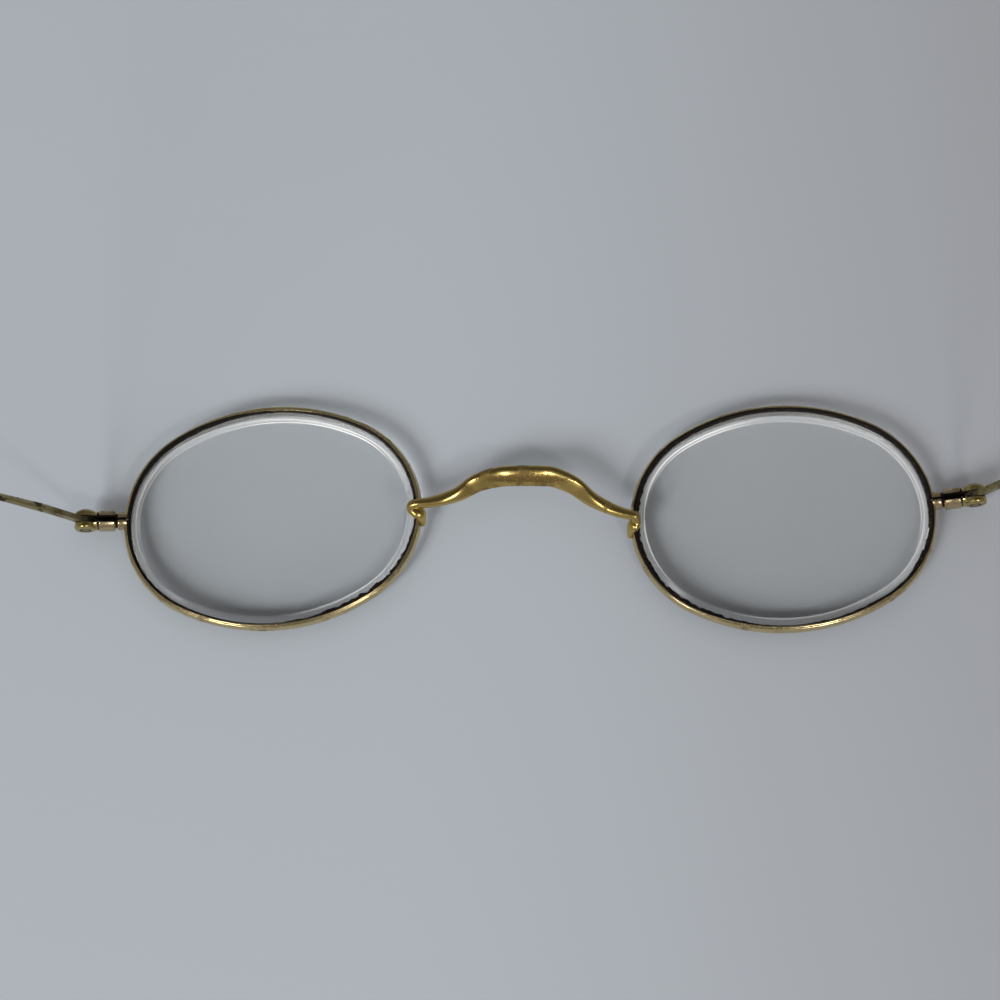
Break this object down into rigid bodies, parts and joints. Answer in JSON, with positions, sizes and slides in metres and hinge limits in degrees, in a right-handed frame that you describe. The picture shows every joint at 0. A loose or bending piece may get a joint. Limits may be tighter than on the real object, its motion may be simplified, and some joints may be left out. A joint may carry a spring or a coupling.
{
  "type": "wire-rim eyeglasses",
  "caption": "Oval wire-rim eyeglasses with a saddle bridge, split endpieces and thin wire temples that fold and end in riding bows.",
  "frame": {"origin": "between the two lens centres, on the surface that the two lens fronts rest on", "axes": "+X towards the wearer's right, +Y up towards the brow as worn, +Z away from the resting surface, towards the wearer's head"},
  "size_m": [0.2129, 0.0596, 0.1063],
  "materials": {
    "rim_metal": "worn gold colour with brown tarnish",
    "lens_glass": "clear, slightly grey, ground edge",
    "bridge_metal": "polished gold colour, tarnished at the edges",
    "endpiece_metal": "satin, tarnished in the seams",
    "screw_metal": "tarnished",
    "temple_metal": "olive gold with dark tarnish"
  },
  "bodies": {
    "front": {"left_rim": "rim_metal", "right_rim": "rim_metal", "left_lens": "lens_glass", "right_lens": "lens_glass", "bridge": "bridge_metal", "left_lug_upper": "endpiece_metal", "left_lug_lower": "endpiece_metal", "right_lug_upper": "endpiece_metal", "right_lug_lower": "endpiece_metal", "left_joint_screw": "screw_metal", "right_joint_screw": "screw_metal"},
    "left_temple_arm": {"left_temple": "temple_metal", "left_tip": "temple_metal"},
    "right_temple_arm": {"right_temple": "temple_metal", "right_tip": "temple_metal"}
  },
  "joints": [
    {"name": "left_temple_hinge", "type": "hinge", "parent": "front", "child": "left_temple_arm", "pos_m": [-0.05612, -0.00091, 0.00333], "axis": [-0.0715, 0.9974, 0], "range_deg": [0, 105]},
    {"name": "right_temple_hinge", "type": "hinge", "parent": "front", "child": "right_temple_arm", "pos_m": [0.05601, 0.0025, 0.00333], "axis": [0.0715, -0.9974, 0], "range_deg": [0, 105]}
  ]
}
